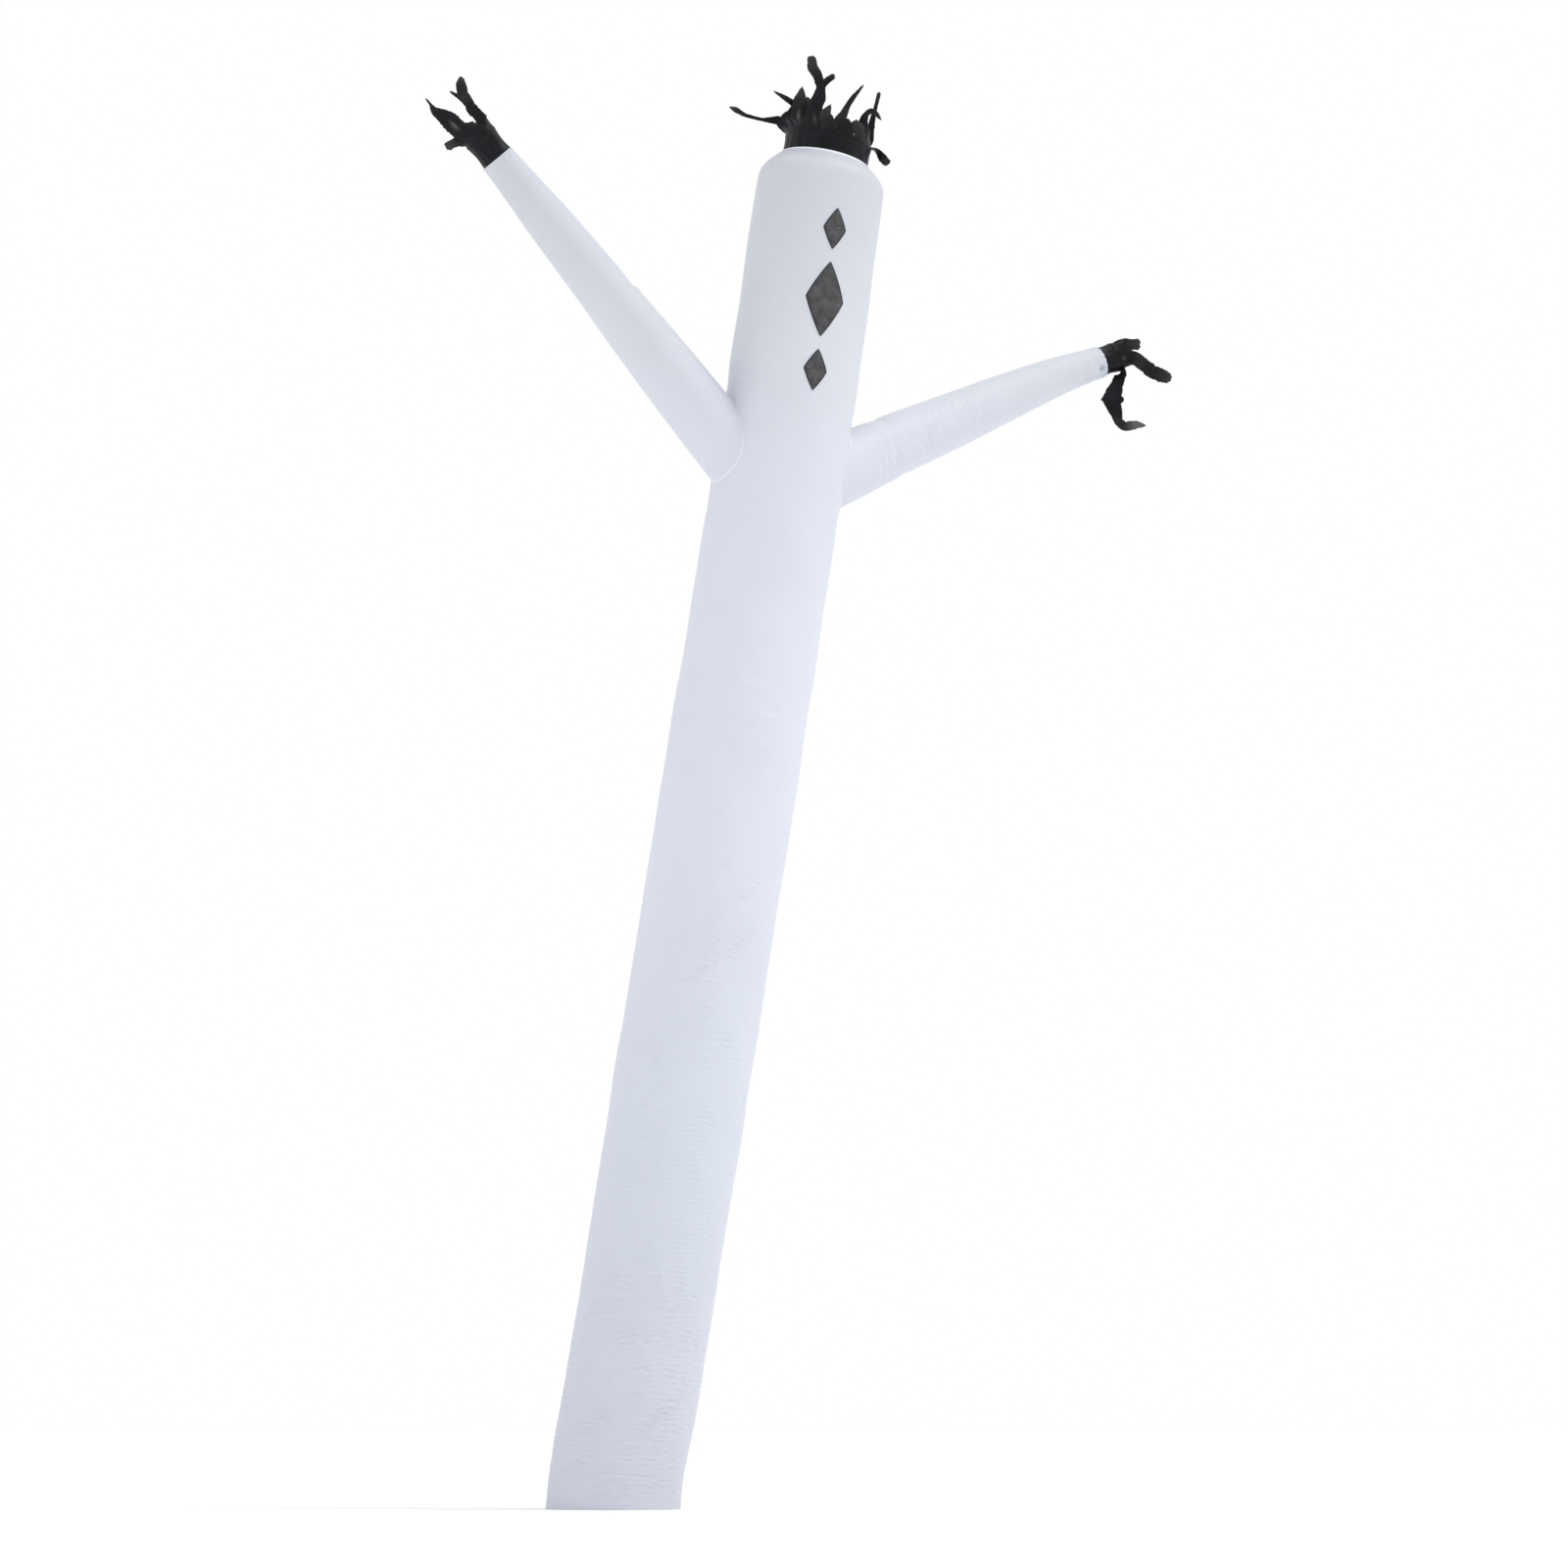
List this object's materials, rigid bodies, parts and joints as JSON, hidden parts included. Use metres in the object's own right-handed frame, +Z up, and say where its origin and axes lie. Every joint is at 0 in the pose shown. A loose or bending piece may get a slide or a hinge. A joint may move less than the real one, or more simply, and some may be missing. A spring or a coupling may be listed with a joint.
{
  "type": "inflatable air dancer",
  "caption": "Tall blown-up cloth tube with tapered arms, black cloth fingers and hair, and dark lozenge patches on its head, open at the base for a blower.",
  "frame": {"origin": "centre of the open bottom hem, where the tube is strapped round a blower's outlet", "axes": "+Z up, -Y the front of the head, +X the side the blown-up tube leans to and its right arm in this view"},
  "size_m": [2.8756, 0.5032, 5.0629],
  "materials": {
    "white_nylon": "matt woven, slightly translucent",
    "black_nylon": "woven with a soft sheen",
    "dark_patch_nylon": "coated, slightly glossy"
  },
  "bodies": {
    "root": {"body_tube": "white_nylon", "arm_left": "white_nylon", "arm_right": "white_nylon", "cuff_left": "black_nylon", "cuff_right": "black_nylon", "fingers_left": "black_nylon", "fingers_right": "black_nylon", "hair_band": "black_nylon", "hair_strips": "black_nylon", "patch_upper": "dark_patch_nylon", "patch_middle": "dark_patch_nylon", "patch_lower": "dark_patch_nylon"}
  },
  "joints": []
}
